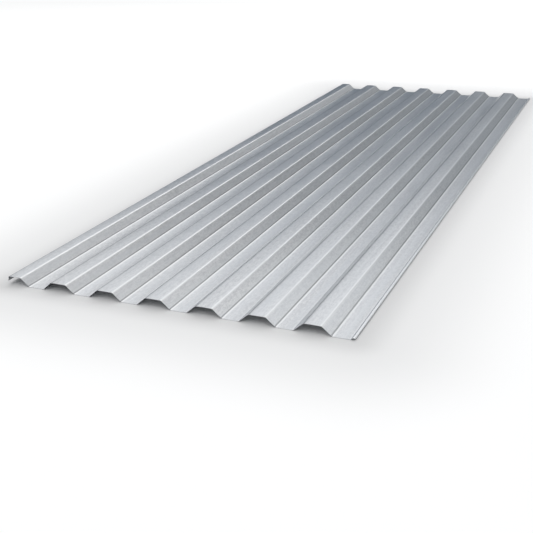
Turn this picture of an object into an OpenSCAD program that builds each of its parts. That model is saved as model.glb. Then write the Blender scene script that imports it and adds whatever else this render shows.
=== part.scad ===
// Trapezoidal corrugated steel sheet: one strip of galvanised steel, roll-formed
// into even ribs and cut square at both ends. The ribs run along Y, the profile
// lies in XZ, and the valleys rest on Z = 0 with the origin under the middle.

/* [Sheet] */
// Cut length of the sheet, along the ribs
sheet_len = 3000; // [600:10:6000]
// Thickness of the steel, zinc coating included
sheet_t = 0.75; // [0.4:0.05:1.5]

/* [Ribs] */
// Number of ribs across the sheet
rib_count = 7; // [2:1:12]
// Distance from one rib to the next
rib_pitch = 150; // [120:1:220]
// Depth of the ribs, from the face of a valley to the same face of a crest
rib_depth = 24; // [18:1:45]
// Width of a crest between its bend lines
crest_w = 48; // [25:1:60]
// Width of a valley between its bend lines
valley_w = 48; // [25:1:60]
// Inside radius of the bends between crests, flanks and valleys
bend_r = 6; // [1:0.5:8]

/* [Overlap edge] */
// Width of the first rib's crest, which laps over the neighbouring sheet
lap_crest_w = 40; // [25:1:60]
// Gap between the drip lip's lower edge and the level of the valleys
drip_gap = 10; // [4:1:14]
// How far the drip lip leans outwards
drip_lip_lean = 3; // [0:0.5:8]
// Inside radius of the bend above the drip lip
drip_bend_r = 2; // [0.5:0.5:4]

/* [Underlap edge] */
// Height of the water bar, the small bead beyond the last valley
water_bar_h = 5; // [4:0.5:10]
// Width of the water bar's flat top between its bend lines
water_bar_w = 6; // [5:0.5:15]
// Gap between the water bar's lower edge and the level of the valleys
water_gap = 1.5; // [0.5:0.25:2]
// Inside radius of the water bar's bends
water_bend_r = 1.2; // [0.5:0.1:1.5]

/* [Smoothness] */
// Straight steps that make up one bend
bend_steps = 8; // [3:1:16]

/* [Hidden] */

// Horizontal run of a flank, and its slope as run per unit of rise
flank_run = (rib_pitch - crest_w - valley_w) / 2;
flank_slope = flank_run / rib_depth;

// Heights of the steel's middle plane in the valleys and on the crests
valley_z = sheet_t / 2;
crest_z = valley_z + rib_depth;

// Bend lines across the sheet, counted from where a full first crest would begin.
// The finished section is moved so that its middle lies over the origin.
function crest_left(rib) = rib * rib_pitch;
function crest_right(rib) = crest_left(rib) + crest_w;
function valley_left(rib) = crest_right(rib) + flank_run;
function valley_right(rib) = valley_left(rib) + valley_w;

// Corners of the drip lip and the lap crest: [x, z, inside bend radius]
lap_x = crest_right(0) - lap_crest_w;
overlap_corners = [
    [lap_x - drip_lip_lean, valley_z + drip_gap, 0],
    [lap_x, crest_z, drip_bend_r],
];

// Corners of the valleys and of the crests between them
rib_corners = [
    for (rib = [0 : rib_count - 1]) each [
        if (rib > 0) [crest_left(rib), crest_z, bend_r],
        [crest_right(rib), crest_z, bend_r],
        [valley_left(rib), valley_z, bend_r],
        if (rib < rib_count - 1) [valley_right(rib), valley_z, bend_r],
    ]
];

// Corners of the water bar, which rises from the last valley at a flank's slope
bar_foot_x = valley_right(rib_count - 1);
bar_top_x = bar_foot_x + water_bar_h * flank_slope;
bar_end_x = bar_top_x + water_bar_w;
bar_z = valley_z + water_bar_h;
underlap_corners = [
    [bar_foot_x, valley_z, water_bend_r],
    [bar_top_x, bar_z, water_bend_r],
    [bar_end_x, bar_z, water_bend_r],
    [bar_end_x, valley_z + water_gap, 0],
];

corners = concat(overlap_corners, rib_corners, underlap_corners);

// Plane geometry of a bend
function flat_part(corner) = [corner[0], corner[1]];
function heading(from, to) = atan2(to[1] - from[1], to[0] - from[0]);
function normal(angle) = [-sin(angle), cos(angle)];

// Points of one bend as [point on the middle plane, direction of the upper face].
// The arc touches both straight runs, and its inside radius is the corner's own.
function bend(before, corner, after) =
    let (
        heading_in = heading(before, corner),
        turn = heading(corner, after) - heading_in,
        side = sign(turn),
        mid_r = corner[2] + sheet_t / 2,
        reach = mid_r * tan(abs(turn) / 2),
        start = flat_part(corner) - reach * [cos(heading_in), sin(heading_in)],
        centre = start + side * mid_r * normal(heading_in)
    )
    [
        for (step = [0 : bend_steps])
            let (angle = heading_in + turn * step / bend_steps)
            [centre - side * mid_r * normal(angle), normal(angle)]
    ];

// The whole middle line, from the drip lip to the end of the water bar
last = len(corners) - 1;
middle_line = concat(
    [[flat_part(corners[0]), normal(heading(corners[0], corners[1]))]],
    [for (i = [1 : last - 1]) each bend(corners[i - 1], corners[i], corners[i + 1])],
    [[flat_part(corners[last]), normal(heading(corners[last - 1], corners[last]))]]
);

upper_face = [for (spot = middle_line) spot[0] + spot[1] * sheet_t / 2];
lower_face = [for (spot = middle_line) spot[0] - spot[1] * sheet_t / 2];
section = concat(upper_face, [for (i = [len(lower_face) - 1 : -1 : 0]) lower_face[i]]);

// Middle of the section's width, which sits over the origin
section_x = [for (point = section) point[0]];
middle_x = (min(section_x) + max(section_x)) / 2;

module corrugated_sheet() {
    color("silver")
        rotate([90, 0, 0])
            linear_extrude(height = sheet_len, center = true)
                translate([-middle_x, 0])
                    polygon(section);
}

corrugated_sheet();
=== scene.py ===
"""Looks of a trapezoidal corrugated steel sheet: its rolled form, zinc coat, floor, light and camera.

The sheet is swept by a Geometry Nodes tree from the sizes that the sheet was rolled to, and it stands for
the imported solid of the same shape. Lengths in the size classes are in millimetres, the scene is in metres.
"""

import logging
import math
from dataclasses import dataclass, fields
from enum import Enum
from typing import Any, Optional, Union

import bpy
from mathutils import Matrix, Vector

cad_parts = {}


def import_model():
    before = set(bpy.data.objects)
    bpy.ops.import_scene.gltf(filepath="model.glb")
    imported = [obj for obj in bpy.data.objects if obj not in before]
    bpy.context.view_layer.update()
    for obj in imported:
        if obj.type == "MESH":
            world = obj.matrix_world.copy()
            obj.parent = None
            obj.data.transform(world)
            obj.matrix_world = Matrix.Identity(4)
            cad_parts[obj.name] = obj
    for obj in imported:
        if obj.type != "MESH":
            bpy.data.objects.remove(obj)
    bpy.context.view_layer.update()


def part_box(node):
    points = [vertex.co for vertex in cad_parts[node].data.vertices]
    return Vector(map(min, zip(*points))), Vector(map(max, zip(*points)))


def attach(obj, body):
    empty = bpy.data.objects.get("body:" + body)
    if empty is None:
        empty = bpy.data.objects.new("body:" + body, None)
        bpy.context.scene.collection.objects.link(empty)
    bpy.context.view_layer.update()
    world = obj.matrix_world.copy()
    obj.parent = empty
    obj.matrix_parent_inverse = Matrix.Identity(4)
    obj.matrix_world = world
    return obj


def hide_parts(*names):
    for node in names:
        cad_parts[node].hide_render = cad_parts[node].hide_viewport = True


log = logging.getLogger("corrugated_sheet")

MM = 0.001
IMAGE_SIDE_PX = 533
SHEET_NODE = "corrugated_sheet"
BODY = "root"
SHARP_DEG = 45.0
NOISE_MIDDLE = 0.5

# Bend lines of one rib, and those beside the ribs: the drip lip's free edge and three of the water bar
CORNERS_PER_RIB = 4
EDGE_CORNERS = 4

Operand = Union["Term", float, int]
Colour = tuple[float, float, float, float]

BLACK: Colour = (0.0, 0.0, 0.0, 1.0)
WHITE: Colour = (1.0, 1.0, 1.0, 1.0)


class Surface(Enum):
    """Named point attributes of the form; the finishes read the bend, which is negative on shoulders, where
    the zinc coat paints shade.
    """

    BEND_RADIUS = "bend_radius"
    SHOULDER = "shoulder"
    BEND = "bend"


class NodeKit:
    """Adds nodes to one tree, with their settings first and their sockets after."""

    def __init__(self, tree: bpy.types.NodeTree) -> None:
        """Start with a tree.

        Args:
            tree: The shader or geometry tree that takes the nodes.
        """
        self.tree = tree

    def add(
        self,
        kind: str,
        settings: Optional[dict[str, Any]] = None,
        sockets: Optional[dict[Union[int, str], Any]] = None,
    ) -> bpy.types.Node:
        """Add one node.

        Args:
            kind: The node's type name.
            settings: Properties of the node; "stops" fills a colour ramp with (place, colour) pairs.
            sockets: Values or Terms for the node's inputs, by name or number.

        Returns:
            The new node.
        """
        node = self.tree.nodes.new(kind)
        for name, value in (settings or {}).items():
            if name == "stops":
                self._fill_ramp(node.color_ramp, value)
            else:
                setattr(node, name, value)
        for key, value in (sockets or {}).items():
            if isinstance(value, Term):
                self.tree.links.new(value.socket, node.inputs[key])
            else:
                node.inputs[key].default_value = value
        return node

    def term(
        self,
        kind: str,
        settings: Optional[dict[str, Any]] = None,
        sockets: Optional[dict[Union[int, str], Any]] = None,
        output: Union[int, str] = 0,
    ) -> "Term":
        """Add one node and take one of its outputs.

        Args:
            kind: The node's type name.
            settings: Properties of the node.
            sockets: Values or Terms for the node's inputs.
            output: Name or number of the output.

        Returns:
            The output, ready for expressions.
        """
        return Term(self, self.add(kind, settings, sockets).outputs[output])

    @staticmethod
    def _fill_ramp(ramp: bpy.types.ColorRamp, stops: tuple[tuple[float, Colour], ...]) -> None:
        """Put stops on a ramp that has two to start with.

        Args:
            ramp: The ramp to fill.
            stops: Its (place, colour) pairs, in order.
        """
        for _ in stops[2:]:
            ramp.elements.new(1.0)
        for element, (place, colour) in zip(ramp.elements, stops):
            element.position = place
            element.color = colour


class Term:
    """An output socket that works in Python expressions; each operation adds a Math node."""

    def __init__(self, kit: NodeKit, socket: bpy.types.NodeSocket) -> None:
        self.kit = kit
        self.socket = socket

    def _math(self, operation: str, first: Operand, second: Operand = 0.0) -> "Term":
        """Add a Math node on one or two operands."""
        return self.kit.term("ShaderNodeMath", {"operation": operation}, {0: first, 1: second})

    def __add__(self, other: Operand) -> "Term":
        """Sum."""
        return self._math("ADD", self, other)

    __radd__ = __add__

    def __sub__(self, other: Operand) -> "Term":
        """Difference."""
        return self._math("SUBTRACT", self, other)

    def __rsub__(self, other: Operand) -> "Term":
        """Difference with the term second."""
        return self._math("SUBTRACT", other, self)

    def __mul__(self, other: Operand) -> "Term":
        """Product."""
        return self._math("MULTIPLY", self, other)

    __rmul__ = __mul__

    def __truediv__(self, other: Operand) -> "Term":
        """Quotient."""
        return self._math("DIVIDE", self, other)

    def __rtruediv__(self, other: Operand) -> "Term":
        """Quotient with the term below."""
        return self._math("DIVIDE", other, self)

    def __gt__(self, other: Operand) -> "Term":
        """One where the term is greater, else zero."""
        return self._math("GREATER_THAN", self, other)

    def __lt__(self, other: Operand) -> "Term":
        """One where the term is less, else zero."""
        return self._math("LESS_THAN", self, other)

    def past(self, whole: int) -> "Term":
        """One where the term, a whole number, is above another, else zero."""
        return self > whole + 0.5

    def up_to(self, whole: int) -> "Term":
        """One where the term, a whole number, is another at most, else zero."""
        return self < whole + 0.5

    def floor(self) -> "Term":
        """Next whole number below."""
        return self._math("FLOOR", self)

    def round(self) -> "Term":
        """Nearest whole number."""
        return self._math("ROUND", self)

    def root(self) -> "Term":
        """Square root."""
        return self._math("SQRT", self)

    def size(self) -> "Term":
        """Absolute value."""
        return self._math("ABSOLUTE", self)

    def at_most(self, limit: Operand) -> "Term":
        """Smaller of the term and a limit."""
        return self._math("MINIMUM", self, limit)

    def at_least(self, limit: Operand) -> "Term":
        """Larger of the term and a limit."""
        return self._math("MAXIMUM", self, limit)

    def rise(self, start: float, end: float, top: float = 1.0) -> "Term":
        """Smooth step from zero to a top.

        Args:
            start: Value of the term up to which the step is zero.
            end: Value of the term from which the step is at its top.
            top: Height of the step.

        Returns:
            The step.
        """
        return self.kit.term(
            "ShaderNodeMapRange",
            {"interpolation_type": "SMOOTHSTEP"},
            {"Value": self, "From Min": start, "From Max": end, "To Max": top},
        )

    def where(self, mask: "Term", other: Operand) -> "Term":
        """This term, but the other one where a mask of zeros and ones is one.

        Args:
            mask: One where the other operand holds.
            other: What holds there.

        Returns:
            The mixed term.
        """
        return self + mask * (other - self)


@dataclass
class RolledSheet:
    """The sheet's rolled section in millimetres, and the tree that sweeps it along the ribs."""

    ribs: int = 7
    pitch: float = 150.0
    depth: float = 24.0
    crest: float = 48.0
    valley: float = 48.0
    bend_radius: float = 6.0
    thickness: float = 0.75
    lap_crest: float = 40.0
    drip_gap: float = 10.0
    drip_lean: float = 3.0
    drip_radius: float = 2.0
    bar_height: float = 5.0
    bar_width: float = 6.0
    bar_gap: float = 1.5
    bar_radius: float = 1.2
    crown: float = 0.3
    bend_steps: int = 10
    flat_cuts: int = 7
    stations: int = 41

    def build(self, zinc: bpy.types.Material, rim: bpy.types.Material) -> bpy.types.Object:
        """Make the sheet's mesh from the tree.

        Args:
            zinc: Finish of the two faces.
            rim: Finish of the sheared edges.

        Returns:
            A plain mesh object at the origin.
        """
        low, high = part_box(SHEET_NODE)
        carrier = bpy.data.objects.new("sheet_carrier", bpy.data.meshes.new("sheet_carrier"))
        bpy.context.scene.collection.objects.link(carrier)
        modifier = carrier.modifiers.new("rolled_form", "NODES")
        tree = self._tree(zinc, rim)
        modifier.node_group = tree
        values = {item.name: getattr(self, item.name) for item in fields(self)}
        values["length"] = (high.y - low.y) / MM
        values["shift"] = (low.x + high.x) / 2 / MM - self._middle()
        for item in tree.interface.items_tree:
            if item.in_out == "INPUT" and item.name in values:
                whole = item.socket_type == "NodeSocketInt"
                modifier[item.identifier] = values[item.name] if whole else values[item.name] * MM
        graph = bpy.context.evaluated_depsgraph_get()
        mesh = bpy.data.meshes.new_from_object(carrier.evaluated_get(graph))
        carrier.modifiers.remove(modifier)
        bpy.data.objects.remove(carrier)
        mesh.name = "rolled_sheet"
        sheet = bpy.data.objects.new("rolled_sheet", mesh)
        bpy.context.scene.collection.objects.link(sheet)
        return sheet

    def _middle(self) -> float:
        """Find the middle of the section's width.

        Returns:
            Its distance in millimetres from where a full first crest would begin.
        """
        lip = Vector((self.drip_lean, self.depth - self.drip_gap)).normalized()
        left = self.crest - self.lap_crest - self.drip_lean - lip.y * self.thickness / 2
        run = (self.pitch - self.crest - self.valley) / 2
        foot = self.ribs * self.pitch - run
        right = foot + self.bar_height * run / self.depth + self.bar_width + self.thickness / 2
        return (left + right) / 2

    def _tree(self, zinc: bpy.types.Material, rim: bpy.types.Material) -> bpy.types.NodeTree:
        """Build the Geometry Nodes tree.

        Args:
            zinc: Finish of the two faces.
            rim: Finish of the sheared edges.

        Returns:
            The tree, with one named input for each size.
        """
        tree = bpy.data.node_groups.new("rolled_form", "GeometryNodeTree")
        tree.interface.new_socket("sheet", in_out="OUTPUT", socket_type="NodeSocketGeometry")
        tree.interface.new_socket("carrier", in_out="INPUT", socket_type="NodeSocketGeometry")
        for item in fields(self):
            kind = "NodeSocketInt" if item.type in (int, "int") else "NodeSocketFloat"
            tree.interface.new_socket(item.name, in_out="INPUT", socket_type=kind)
        for name in ("length", "shift"):
            tree.interface.new_socket(name, in_out="INPUT", socket_type="NodeSocketFloat")
        kit = NodeKit(tree)
        group = kit.add("NodeGroupInput")
        size = {socket.name: Term(kit, socket) for socket in group.outputs if socket.name}
        section = self._section(kit, size)
        skin = self._sweep(kit, size, section)
        solid, side = self._thicken(kit, size, skin)
        solid = self._crease(kit, solid)
        solid = kit.term("GeometryNodeRealizeInstances", None, {"Geometry": solid})
        solid = kit.term("GeometryNodeSetMaterial", None, {"Geometry": solid, "Material": zinc})
        solid = kit.term(
            "GeometryNodeSetMaterial", None, {"Geometry": solid, "Selection": side, "Material": rim}
        )
        kit.add("NodeGroupOutput", None, {"sheet": solid})
        return tree

    @staticmethod
    def _point(kit: NodeKit) -> dict[str, Term]:
        """Coordinates of the points being worked on."""
        parts = kit.add("ShaderNodeSeparateXYZ", None, {0: kit.term("GeometryNodeInputPosition")})
        return {axis: Term(kit, parts.outputs[axis]) for axis in "XYZ"}

    def _section(self, kit: NodeKit, size: dict[str, Term]) -> Term:
        """Draw the middle line of the section: bend lines, rounded, with points along the flats.

        Args:
            kit: The tree's node kit.
            size: The tree's named sizes.

        Returns:
            The section as a curve in the XZ plane.
        """
        index = kit.term("GeometryNodeInputIndex")
        corner = index - 1
        rib = (corner / CORNERS_PER_RIB).floor()
        step = corner - rib * CORNERS_PER_RIB
        run = (size["pitch"] - size["crest"] - size["valley"]) / 2
        x = rib * size["pitch"] + step.past(0) * size["crest"] + step.past(1) * run
        x = x + step.past(2) * size["valley"]
        z = step.up_to(1) * size["depth"]
        lip = index.up_to(0)
        lap = index.up_to(1)
        x = x.where(lap, size["crest"] - size["lap_crest"] - lip * size["drip_lean"])
        z = z.where(lap, size["depth"] - lip * (size["depth"] - size["drip_gap"]))
        last = size["ribs"] * CORNERS_PER_RIB
        bar_step = index - last
        bar = bar_step.past(0)
        foot = size["ribs"] * size["pitch"] - run
        bar_x = foot + size["bar_height"] * run / size["depth"] + bar_step.past(1) * size["bar_width"]
        x = x.where(bar, bar_x)
        z = z.where(bar, size["bar_height"] - bar_step.past(2) * (size["bar_height"] - size["bar_gap"]))
        radius = size["bend_radius"].where(lap, size["drip_radius"])
        radius = radius.where(bar_step.past(-1), size["bar_radius"]) + size["thickness"] / 2
        place = kit.term(
            "ShaderNodeCombineXYZ", None, {"X": x + size["shift"], "Z": z + size["thickness"] / 2}
        )
        line = kit.term("GeometryNodeMeshLine", {"mode": "OFFSET"}, {"Count": last + EDGE_CORNERS})
        line = kit.term("GeometryNodeSetPosition", None, {"Geometry": line, "Position": place})
        line = self._store(kit, line, Surface.BEND_RADIUS, radius)
        # Crest-left shoulders, on which the zinc coat paints a dark line of shade
        line = self._store(kit, line, Surface.SHOULDER, step.up_to(0) * (1 - bar))
        curve = kit.term("GeometryNodeMeshToCurve", None, {"Mesh": line})
        stored = kit.term("GeometryNodeInputNamedAttribute", None, {"Name": Surface.BEND_RADIUS.value})
        shoulder = kit.term("GeometryNodeInputNamedAttribute", None, {"Name": Surface.SHOULDER.value})
        curve = kit.term(
            "GeometryNodeFilletCurve",
            {"mode": "POLY"},
            {"Curve": curve, "Count": size["bend_steps"], "Radius": stored},
        )
        longest_bend_step = 2 * MM
        flat = self._gap(kit, 1) > longest_bend_step
        curve = kit.term(
            "GeometryNodeSubdivideCurve", None, {"Curve": curve, "Cuts": flat * size["flat_cuts"]}
        )
        bend = (self._gap(kit, 1) < longest_bend_step).at_least(self._gap(kit, -1) < longest_bend_step)
        # Bends, made negative on the shoulders so that the finish paints shade there instead of burnish
        curve = self._store(kit, curve, Surface.BEND, bend * (1 - shoulder * 2))
        return self._crowned(kit, size, curve, run)

    def _crowned(self, kit: NodeKit, size: dict[str, Term], curve: Term, run: Term) -> Term:
        """Spring the flats a little: valleys dish and crests crown, as rolled flats do.

        Args:
            kit: The tree's node kit.
            size: The tree's named sizes.
            curve: The section's middle line.
            run: Horizontal run of a flank.

        Returns:
            The section with its flats sprung, still within the height of the flat one.
        """
        point = self._point(kit)
        x = point["X"] - size["shift"]
        z = point["Z"] - size["thickness"] / 2
        flank = (run * run + size["depth"] * size["depth"]).root()
        reach = (size["bend_radius"] + size["thickness"] / 2) * (flank - run) / size["depth"]
        touch = 0.01 * MM
        on_valley = z < touch
        on_crest = z > size["depth"] - touch
        on_lap = x < size["crest"]
        crest_middle = (size["crest"] / 2).where(on_lap, size["crest"] - size["lap_crest"] / 2)
        middle = (size["crest"] + run + size["valley"] / 2).where(on_crest, crest_middle)
        width = size["valley"].where(on_crest, size["crest"].where(on_lap, size["lap_crest"]))
        turns = (x - middle) / size["pitch"]
        off = (turns - turns.round()) * size["pitch"]
        share = (off.size() / (width / 2 - reach)).at_most(1.0)
        rise = size["crown"] * (1 - z * 2 / size["depth"])
        rise = rise * (1.0 - (on_valley + on_crest) * (1 - share * share))
        move = kit.term("ShaderNodeCombineXYZ", None, {"Z": rise})
        return kit.term("GeometryNodeSetPosition", None, {"Geometry": curve, "Offset": move})

    @staticmethod
    def _gap(kit: NodeKit, way: int) -> Term:
        """Measure from each point of a curve to its neighbour.

        Args:
            kit: The tree's node kit.
            way: One for the next point along the curve, minus one for the point before.

        Returns:
            The distance.
        """
        here = kit.term("GeometryNodeInputPosition")
        other = kit.term("GeometryNodeInputIndex") + way
        there = kit.term(
            "GeometryNodeFieldAtIndex", {"data_type": "FLOAT_VECTOR"}, {"Index": other, "Value": here}
        )
        return kit.term("ShaderNodeVectorMath", {"operation": "DISTANCE"}, {0: here, 1: there}, "Value")

    @staticmethod
    def _store(kit: NodeKit, geometry: Term, name: Surface, value: Operand) -> Term:
        """Keep a value on each point.

        Args:
            kit: The tree's node kit.
            geometry: What has the points.
            name: The attribute that holds the value.
            value: The value, which may differ from point to point.

        Returns:
            The geometry with the attribute.
        """
        return kit.term(
            "GeometryNodeStoreNamedAttribute",
            {"data_type": "FLOAT", "domain": "POINT"},
            {"Geometry": geometry, "Name": name.value, "Value": value},
        )

    def _sweep(self, kit: NodeKit, size: dict[str, Term], section: Term) -> Term:
        """Lay a grid along the ribs whose rows follow the section.

        Args:
            kit: The tree's node kit.
            size: The tree's named sizes.
            section: The section as a curve.

        Returns:
            The sheet's middle surface.
        """
        count = kit.term(
            "GeometryNodeAttributeDomainSize", {"component": "CURVE"}, {"Geometry": section}, "Point Count"
        )
        grid = kit.term(
            "GeometryNodeMeshGrid",
            None,
            {"Size X": 1.0, "Size Y": 1.0, "Vertices X": count, "Vertices Y": size["stations"]},
        )
        point = self._point(kit)
        # The grid is one unit wide, with its middle at the origin
        across = ((point["X"] + 0.5) * (count - 1)).round()
        bend = kit.term("GeometryNodeInputNamedAttribute", None, {"Name": Surface.BEND.value})
        sampled_bend = kit.term(
            "GeometryNodeSampleIndex",
            {"data_type": "FLOAT"},
            {"Geometry": section, "Value": bend, "Index": across},
        )
        grid = self._store(kit, grid, Surface.BEND, sampled_bend)
        place = kit.term(
            "GeometryNodeSampleIndex",
            {"data_type": "FLOAT_VECTOR"},
            {"Geometry": section, "Value": kit.term("GeometryNodeInputPosition"), "Index": across},
        )
        along = kit.term("ShaderNodeCombineXYZ", None, {"Y": point["Y"] * size["length"]})
        place = kit.term("ShaderNodeVectorMath", {"operation": "ADD"}, {0: place, 1: along})
        return kit.term("GeometryNodeSetPosition", None, {"Geometry": grid, "Position": place})

    @staticmethod
    def _thicken(kit: NodeKit, size: dict[str, Term], skin: Term) -> tuple[Term, Term]:
        """Give the middle surface its thickness, half to each side.

        Args:
            kit: The tree's node kit.
            size: The tree's named sizes.
            skin: The sheet's middle surface.

        Returns:
            The closed sheet, and a mask of its sheared edges.
        """
        normal = kit.term("GeometryNodeInputNormal")
        half = kit.term(
            "ShaderNodeVectorMath", {"operation": "SCALE"}, {0: normal, "Scale": size["thickness"] / -2}
        )
        lower = kit.term("GeometryNodeSetPosition", None, {"Geometry": skin, "Offset": half})
        extruded = kit.add(
            "GeometryNodeExtrudeMesh",
            {"mode": "FACES"},
            {"Mesh": lower, "Offset Scale": size["thickness"], "Individual": False},
        )
        upper = Term(kit, extruded.outputs["Mesh"])
        side = Term(kit, extruded.outputs["Side"])
        under = kit.term("GeometryNodeFlipFaces", None, {"Mesh": lower})
        joined = kit.add("GeometryNodeJoinGeometry")
        for part in (upper, under):
            kit.tree.links.new(part.socket, joined.inputs[0])
        both = Term(kit, joined.outputs[0])
        touch = 0.001 * MM
        merged = kit.term("GeometryNodeMergeByDistance", None, {"Geometry": both, "Distance": touch})
        return merged, side

    @staticmethod
    def _crease(kit: NodeKit, solid: Term) -> Term:
        """Shade the bends smooth and keep the sheared edges sharp.

        Args:
            kit: The tree's node kit.
            solid: The closed sheet.

        Returns:
            The sheet with its shading set.
        """
        angle = kit.term("GeometryNodeInputMeshEdgeAngle", None, None, "Unsigned Angle")
        sharp = angle > math.radians(SHARP_DEG)
        solid = kit.term("GeometryNodeSetShadeSmooth", {"domain": "FACE"}, {"Geometry": solid})
        return kit.term(
            "GeometryNodeSetShadeSmooth",
            {"domain": "EDGE"},
            {"Geometry": solid, "Selection": sharp, "Shade Smooth": False},
        )


def blank_material(name: str) -> tuple[bpy.types.Material, NodeKit]:
    """Start a node material with nothing in it.

    Args:
        name: The material's name.

    Returns:
        The material, and a kit for its tree.
    """
    material = bpy.data.materials.new(name)
    material.use_nodes = True
    material.node_tree.nodes.clear()
    return material, NodeKit(material.node_tree)


def blend(kit: NodeKit, share: Term, first: Union[Term, Colour], second: Union[Term, Colour]) -> Term:
    """Mix two colours.

    Args:
        kit: The material's node kit.
        share: How much of the second colour shows.
        first: Colour where the share is zero.
        second: Colour where the share is one.

    Returns:
        The mixed colour.
    """
    first_colour, second_colour, mixed_colour = 6, 7, 2
    return kit.term(
        "ShaderNodeMix",
        {"data_type": "RGBA"},
        {0: share, first_colour: first, second_colour: second},
        mixed_colour,
    )


@dataclass(frozen=True)
class Grain:
    """Noise that is drawn out along the axes on which it has few grains per metre.

    The grains are counted across the ribs, along them and in height. Detail is the number of finer octaves,
    and fineness is the strength of each as a share of the one before it. Tone, tint and rough say how
    strongly the noise shows in the tone, the tint and the roughness of a finish.
    """

    per_metre: tuple[float, float, float]
    detail: float = 2.0
    fineness: float = 0.5
    tone: float = 0.0
    tint: float = 0.0
    rough: float = 0.0

    def swing(self, kit: NodeKit, place: Term) -> Term:
        """Add the noise to a finish.

        Args:
            kit: The material's node kit.
            place: Object coordinates.

        Returns:
            The noise, from about minus a half to about a half.
        """
        drawn = kit.term("ShaderNodeVectorMath", {"operation": "MULTIPLY"}, {0: place, 1: self.per_metre})
        noise = kit.term(
            "ShaderNodeTexNoise",
            None,
            {"Vector": drawn, "Scale": 1.0, "Detail": self.detail, "Roughness": self.fineness},
        )
        return noise - NOISE_MIDDLE


@dataclass(frozen=True)
class Spangle:
    """Zinc crystals of one size, with ragged borders between them.

    The teeth of a border are counted per crystal, and they reach a share of the crystal's size. Tone, tint
    and rough say how strongly the crystals show in the tone, the tint and the roughness of a finish.
    """

    per_metre: float
    tone: float = 0.0
    tint: float = 0.0
    rough: float = 0.0
    teeth: float = 3.5
    reach: float = 0.6

    def swing(self, kit: NodeKit, place: Term) -> Term:
        """Add the crystals to a finish.

        Args:
            kit: The material's node kit.
            place: Object coordinates.

        Returns:
            One value for each crystal, from minus a half to a half.
        """
        ragged = kit.term(
            "ShaderNodeTexNoise",
            None,
            {"Vector": place, "Scale": self.teeth * self.per_metre, "Detail": 1.0},
            "Color",
        )
        push = kit.term(
            "ShaderNodeVectorMath", {"operation": "SCALE"}, {0: ragged, "Scale": self.reach / self.per_metre}
        )
        moved = kit.term("ShaderNodeVectorMath", {"operation": "ADD"}, {0: place, 1: push})
        cell = kit.term("ShaderNodeTexVoronoi", None, {"Vector": moved, "Scale": self.per_metre}, "Color")
        return kit.term("ShaderNodeSeparateColor", None, {"Color": cell}) - NOISE_MIDDLE


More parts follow.
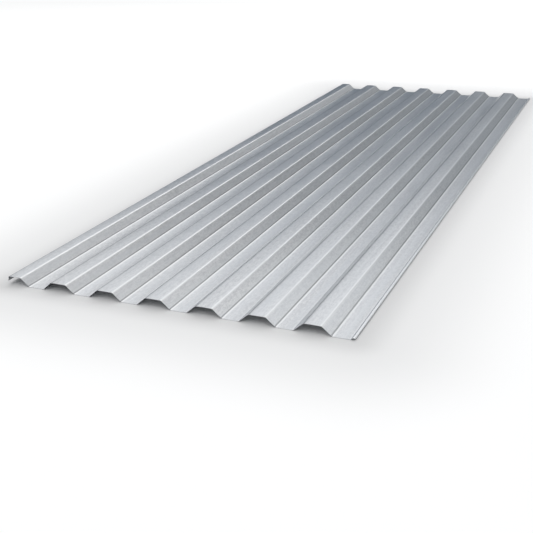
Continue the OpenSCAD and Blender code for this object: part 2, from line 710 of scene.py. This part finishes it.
@dataclass(frozen=True)
class ZincCoat:
    """Bright galvanised steel: spangle, streaks along the rolling direction, burnished bends, painted shade
    in valleys, flank feet and crest shoulders.
    """

    name: str = "zinc_coat"
    pale: Colour = (0.846, 0.85, 0.857, 1.0)
    shaded: Colour = (0.625, 0.634, 0.648, 1.0)
    lilac: Colour = (0.712, 0.733, 0.76, 1.0)
    burnished: Colour = (0.86, 0.87, 0.88, 1.0)
    # Colour of the painted shade: a dark line in each flank's foot and along each crest's left shoulder.
    painted_shade_colour: Colour = (0.4, 0.408, 0.42, 1.0)
    mottle: Grain = Grain((170.0, 50.0, 170.0), 4.0, 0.8, tone=2.8)
    crystals: Spangle = Spangle(230.0, tone=0.3, rough=0.02)
    flowers: Spangle = Spangle(85.0, tone=0.2, rough=0.04)
    rolling: Grain = Grain((420.0, 1.5, 420.0), tone=0.4, rough=0.05)
    streaks: Grain = Grain((110.0, 0.7, 110.0), 1.0, tone=0.6)
    bands: Grain = Grain((38.0, 0.5, 38.0), tone=0.5, tint=1.6)
    clouds: Grain = Grain((5.0, 2.2, 5.0), 4.0, tone=0.3, tint=0.8, rough=0.05)
    middle_tone: float = 0.5
    middle_tint: float = 0.25
    most_tint: float = 0.7
    drawn_lines: Grain = Grain((1300.0, 0.9, 1300.0), 0.0)
    drawn_edge: tuple[float, float] = (0.16, 0.26)
    drawn_burnish: float = 0.25
    bend_burnish: float = 0.9
    # Heights over which the painted shade of the valleys fades out, and its strength: the lowest few
    # millimetres are painted darker.
    valley_edge: tuple[float, float] = (1.0 * MM, 4.0 * MM)
    valley_painted_shade: float = 0.2
    # Heights where the painted shade at the flanks' feet fades in and out, and the strengths of the painted
    # shade there and on the crests' left shoulders.
    foot_start: tuple[float, float] = (1.6 * MM, 2.1 * MM)
    foot_end: tuple[float, float] = (3.3 * MM, 4.8 * MM)
    foot_shade_strength: float = 0.9
    shoulder_shade_strength: float = 0.65
    roughness: float = 0.3
    smoothest: float = 0.28
    burnish_smoothing: float = 0.02
    waves: Grain = Grain((11.0, 2.4, 11.0), 1.0)
    wave_strength: float = 0.6
    wave_depth: float = 0.8 * MM

    def material(self) -> bpy.types.Material:
        """Build the finish as a node material.

        Returns:
            The material.
        """
        material, kit = blank_material(self.name)
        place = kit.term("ShaderNodeTexCoord", None, None, "Object")
        bend = kit.term("ShaderNodeAttribute", {"attribute_name": Surface.BEND.value}, None, "Fac")
        worn = bend * bend.at_least(0.0)
        # One on the crests' left shoulders, which get painted shade.
        shoulder = bend * bend.at_most(0.0)
        height = kit.term("ShaderNodeSeparateXYZ", None, {0: place}, "Z")
        drawn = self.drawn_lines.swing(kit, place).rise(*self.drawn_edge)
        patterns = (
            self.mottle, self.crystals, self.flowers, self.rolling, self.streaks, self.bands, self.clouds
        )
        swings = [(pattern, pattern.swing(kit, place)) for pattern in patterns]
        tone = self.middle_tone + sum(swing * pattern.tone for pattern, swing in swings)
        # Painted shade: the tone is darker in the lowest few millimetres, in the valleys and at the flanks'
        # feet.
        tone = tone + height.rise(*self.valley_edge, self.valley_painted_shade) - self.valley_painted_shade
        colour = blend(kit, tone.at_least(0.0).at_most(1.0), self.shaded, self.pale)
        tint = self.middle_tint + sum(swing * pattern.tint for pattern, swing in swings if pattern.tint)
        colour = blend(kit, tint.at_least(0.0).at_most(self.most_tint), colour, self.lilac)
        burnish = (worn * self.bend_burnish).at_least(drawn * self.drawn_burnish)
        colour = blend(kit, burnish, colour, self.burnished)
        # Painted shade: a dark line in the crease at each flank's foot and along each crest's left shoulder.
        foot = height.rise(*self.foot_start) * (1 - height.rise(*self.foot_end))
        painted_shade = (foot * self.foot_shade_strength).at_least(shoulder * self.shoulder_shade_strength)
        colour = blend(kit, painted_shade, colour, self.painted_shade_colour)
        rough = self.roughness + sum(swing * pattern.rough for pattern, swing in swings if pattern.rough)
        rough = (rough - (worn + drawn) * self.burnish_smoothing).at_least(self.smoothest)
        shader = kit.term(
            "ShaderNodeBsdfPrincipled",
            None,
            {"Base Color": colour, "Metallic": 1.0, "Roughness": rough, "Normal": self._waved(kit, place)},
        )
        kit.add("ShaderNodeOutputMaterial", None, {"Surface": shader})
        return material

    def _waved(self, kit: NodeKit, place: Term) -> Term:
        """Add the slow waves that rolled flats keep.

        Args:
            kit: The material's node kit.
            place: Object coordinates.

        Returns:
            The waved normal.
        """
        height = self.waves.swing(kit, place)
        sockets = {"Strength": self.wave_strength, "Distance": self.wave_depth, "Height": height}
        return kit.term("ShaderNodeBump", None, sockets)


@dataclass(frozen=True)
class ShearedRim:
    """Bare steel along the cut ends and edges, with the torn grain that shears leave."""

    name: str = "sheared_rim"
    torn: Colour = (0.34, 0.345, 0.355, 1.0)
    bright: Colour = (0.62, 0.625, 0.635, 1.0)
    tear: Grain = Grain((1600.0, 1600.0, 260.0), 3.0, tone=1.5)
    stain: Grain = Grain((45.0, 9.0, 45.0), tone=0.6)
    middle_tone: float = 0.45
    roughness: float = 0.42
    torn_roughness: float = 0.25
    tear_strength: float = 0.5
    tear_depth: float = 0.05 * MM

    def material(self) -> bpy.types.Material:
        """Build the finish as a node material.

        Returns:
            The material.
        """
        material, kit = blank_material(self.name)
        place = kit.term("ShaderNodeTexCoord", None, None, "Object")
        tear = self.tear.swing(kit, place)
        stain = self.stain.swing(kit, place)
        tone = self.middle_tone + tear * self.tear.tone + stain * self.stain.tone
        tone = tone.at_least(0.0).at_most(1.0)
        sockets = {"Strength": self.tear_strength, "Distance": self.tear_depth, "Height": tear}
        shader = kit.term(
            "ShaderNodeBsdfPrincipled",
            None,
            {
                "Base Color": blend(kit, tone, self.torn, self.bright),
                "Metallic": 1.0,
                "Roughness": self.roughness + (1 - tone) * self.torn_roughness,
                "Normal": kit.term("ShaderNodeBump", None, sockets),
            },
        )
        kit.add("ShaderNodeOutputMaterial", None, {"Surface": shader})
        return material


def towards(bearing_deg: float, rise_deg: float) -> Vector:
    """Direction at a bearing off the ribs and a rise over the floor.

    Args:
        bearing_deg: Angle from the ribs' far end towards the underlap edge.
        rise_deg: Angle over the floor.

    Returns:
        The direction, of length one.
    """
    bearing = math.radians(bearing_deg)
    rise = math.radians(rise_deg)
    return Vector((math.sin(bearing) * math.cos(rise), math.cos(bearing) * math.cos(rise), math.sin(rise)))


@dataclass(frozen=True)
class Flag:
    """A soft-edged dark cloth that takes light out of the dome."""

    bearing_deg: float
    rise_deg: float
    core_deg: float
    edge_deg: float
    depth: float
    colour: Colour = (0.018, 0.057, 0.108, 1.0)


@dataclass(frozen=True)
class Softbox:
    """One rectangular softbox that faces the sheet from a bearing off the ribs and a rise over the floor."""

    name: str
    bearing_deg: float
    rise_deg: float
    width: float
    height: float
    radiance: float
    distance: float = 6.0
    aim: tuple[float, float, float] = (0.0, -0.2, 0.0)

    def hang(self) -> None:
        """Put the softbox in the scene."""
        lamp = bpy.data.lights.new(self.name, "AREA")
        lamp.shape = "RECTANGLE"
        lamp.size = self.width
        lamp.size_y = self.height
        lamp.energy = self.radiance * math.pi * self.width * self.height
        holder = bpy.data.objects.new(self.name, lamp)
        bpy.context.scene.collection.objects.link(holder)
        holder.location = towards(self.bearing_deg, self.rise_deg) * self.distance
        facing = Vector(self.aim) - holder.location
        holder.rotation_euler = facing.to_track_quat("-Z", "Y").to_euler()


@dataclass
class Studio:
    """Pale floor, a soft dome of light, softboxes and the camera of the photograph.

    Lengths are in metres. Each step of the floor's glow starts and ends at a distance from the sheet and adds
    a share of white, and the haze starts and ends at such distances too. The glow is weakest right beside the
    sheet, which paints a soft shadow around it on top of the real one. The dome's stops go from the horizon
    up.
    """

    camera_place: tuple[float, float, float] = (1.1084, -3.4196, 1.0056)
    heading_deg: float = -23.235
    dip_deg: float = 21.955
    roll_deg: float = -1.252
    focal_px: float = 915.27
    sensor_mm: float = 36.0
    floor_half: float = 40.0
    view_reach: float = 160.0
    floor_colour: Colour = (0.95, 0.95, 0.95, 1.0)
    # The first two steps start at the sheet's outline, so the floor right beside the sheet is darker: painted
    # shadow.
    floor_glow: tuple[tuple[float, float, float], ...] = (
        (0.0, 0.1, 0.14),
        (0.0, 0.45, 0.2),
        (1.0, 12.0, 0.26),
    )
    haze: tuple[float, float] = (8.0, 38.0)
    softboxes: tuple[Softbox, ...] = (
        Softbox("softbox_left", -30.9, 42.7, 6.6, 4.4, 0.84),
        Softbox("softbox_right", 39.1, 33.8, 2.5, 3.4, 0.84),
        Softbox("strip_behind", 1.5, 29.4, 0.95, 5.0, 0.8, 9.0),
        Softbox("softbox_front", 170.0, 48.0, 9.0, 4.5, 0.68, 7.0),
    )
    dome: tuple[tuple[float, Colour], ...] = (
        (0.0, (0.258, 0.28, 0.302, 1.0)),
        (0.15, (0.277, 0.3, 0.323, 1.0)),
        (0.3, (0.251, 0.272, 0.292, 1.0)),
        (0.5, (0.192, 0.2, 0.208, 1.0)),
        (0.75, (0.45, 0.45, 0.45, 1.0)),
        (1.0, (0.9, 0.9, 0.9, 1.0)),
    )
    flag: Flag = Flag(-21.0, 8.0, 6.0, 21.0, 0.85)

    def build(self) -> None:
        """Make the floor, the light and the camera."""
        bpy.context.scene.view_settings.view_transform = "Standard"
        self._floor()
        self._dome()
        for softbox in self.softboxes:
            softbox.hang()
        self._camera()

    def _floor(self) -> None:
        """Lay the pale floor, which shows white, keeps the shadow, paints more shadow beside the sheet and
        fades into the dome far away.
        """
        half = self.floor_half
        mesh = bpy.data.meshes.new("studio_floor")
        outline = [(-half, -half, 0), (half, -half, 0), (half, half, 0), (-half, half, 0)]
        mesh.from_pydata(outline, [], [(0, 1, 2, 3)])
        floor = bpy.data.objects.new("studio_floor", mesh)
        bpy.context.scene.collection.objects.link(floor)
        material, kit = blank_material("studio_floor")
        path = kit.add("ShaderNodeLightPath")
        seen = Term(kit, path.outputs["Is Camera Ray"]).at_least(Term(kit, path.outputs["Is Glossy Ray"]))
        seen = seen.at_least(Term(kit, path.outputs["Is Transmission Ray"]))
        place = kit.term("ShaderNodeTexCoord", None, None, "Object")
        reach = self._reach(kit, place)
        haze = reach.rise(*self.haze)
        # Painted shadow: the glow is withheld right beside the sheet.
        glow = sum(reach.rise(start, end, white) for start, end, white in self.floor_glow)
        way = kit.term("ShaderNodeVectorMath", {"operation": "NORMALIZE"}, {0: place})
        light = blend(kit, haze, blend(kit, glow, BLACK, WHITE), self._sky(kit, way))
        shader = kit.term(
            "ShaderNodeBsdfPrincipled",
            None,
            {
                "Base Color": blend(kit, haze, self.floor_colour, BLACK),
                "Roughness": 1.0,
                "Specular IOR Level": 0.0,
                "Emission Color": blend(kit, seen, BLACK, light),
                "Emission Strength": 1.0,
            },
        )
        kit.add("ShaderNodeOutputMaterial", None, {"Surface": shader})
        mesh.materials.append(material)

    @staticmethod
    def _reach(kit: NodeKit, place: Term) -> Term:
        """Measure how far the floor reaches beyond the sheet.

        Args:
            kit: The floor material's node kit.
            place: Object coordinates.

        Returns:
            The distance from the sheet's outline, which is zero below the sheet.
        """
        _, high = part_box(SHEET_NODE)
        parts = kit.add("ShaderNodeSeparateXYZ", None, {0: place})
        across = (Term(kit, parts.outputs["X"]).size() - high.x).at_least(0.0)
        along = (Term(kit, parts.outputs["Y"]).size() - high.y).at_least(0.0)
        return (across * across + along * along).root()

    def _sky(self, kit: NodeKit, way: Term) -> Term:
        """Colour the dome, brighter overhead than at the horizon, with the flag before it.

        Args:
            kit: Node kit of the world or the floor.
            way: Direction of length one.

        Returns:
            The dome's colour in that direction.
        """
        rise = kit.term("ShaderNodeSeparateXYZ", None, {0: way}, "Z")
        ramp = kit.term("ShaderNodeValToRGB", {"stops": self.dome}, {"Fac": rise})
        centre = towards(self.flag.bearing_deg, self.flag.rise_deg)
        nearness = kit.term(
            "ShaderNodeVectorMath", {"operation": "DOT_PRODUCT"}, {0: way, 1: centre}, "Value"
        )
        edge = math.cos(math.radians(self.flag.edge_deg))
        core = math.cos(math.radians(self.flag.core_deg))
        return blend(kit, nearness.rise(edge, core, self.flag.depth), ramp, self.flag.colour)

    def _dome(self) -> None:
        """Light the studio with the dome."""
        world = bpy.data.worlds.new("studio_dome")
        bpy.context.scene.world = world
        world.use_nodes = True
        world.node_tree.nodes.clear()
        kit = NodeKit(world.node_tree)
        way = kit.term("ShaderNodeTexCoord", None, None, "Generated")
        sky = kit.term("ShaderNodeBackground", None, {"Color": self._sky(kit, way), "Strength": 1.0})
        kit.add("ShaderNodeOutputWorld", None, {"Surface": sky})

    def _camera(self) -> None:
        """Stand the camera where the photograph was taken from."""
        heading = math.radians(self.heading_deg)
        dip = math.radians(self.dip_deg)
        roll = math.radians(self.roll_deg)
        ahead = Vector((
            math.sin(heading) * math.cos(dip),
            math.cos(heading) * math.cos(dip),
            -math.sin(dip),
        ))
        right = Vector((math.cos(heading), -math.sin(heading), 0.0))
        up = right.cross(ahead)
        right, up = (
            right * math.cos(roll) + up * math.sin(roll),
            up * math.cos(roll) - right * math.sin(roll),
        )
        lens = bpy.data.cameras.new("camera")
        lens.sensor_width = self.sensor_mm
        lens.lens = self.focal_px * self.sensor_mm / IMAGE_SIDE_PX
        lens.clip_end = self.view_reach
        camera = bpy.data.objects.new("camera", lens)
        bpy.context.scene.collection.objects.link(camera)
        turn = Matrix((right, up, -ahead)).transposed().to_4x4()
        camera.matrix_world = Matrix.Translation(self.camera_place) @ turn
        bpy.context.scene.camera = camera


def main() -> None:
    """Load the frame, build the sheet, the studio and the camera."""
    logging.basicConfig(level=logging.INFO, format="%(message)s")
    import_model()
    sheet = RolledSheet().build(ZincCoat().material(), ShearedRim().material())
    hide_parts(SHEET_NODE)
    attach(sheet, BODY)
    log.info("rolled sheet: %d faces", len(sheet.data.polygons))
    Studio().build()
    log.info("studio: floor, dome, softboxes and camera")


if __name__ == "__main__":
    main()
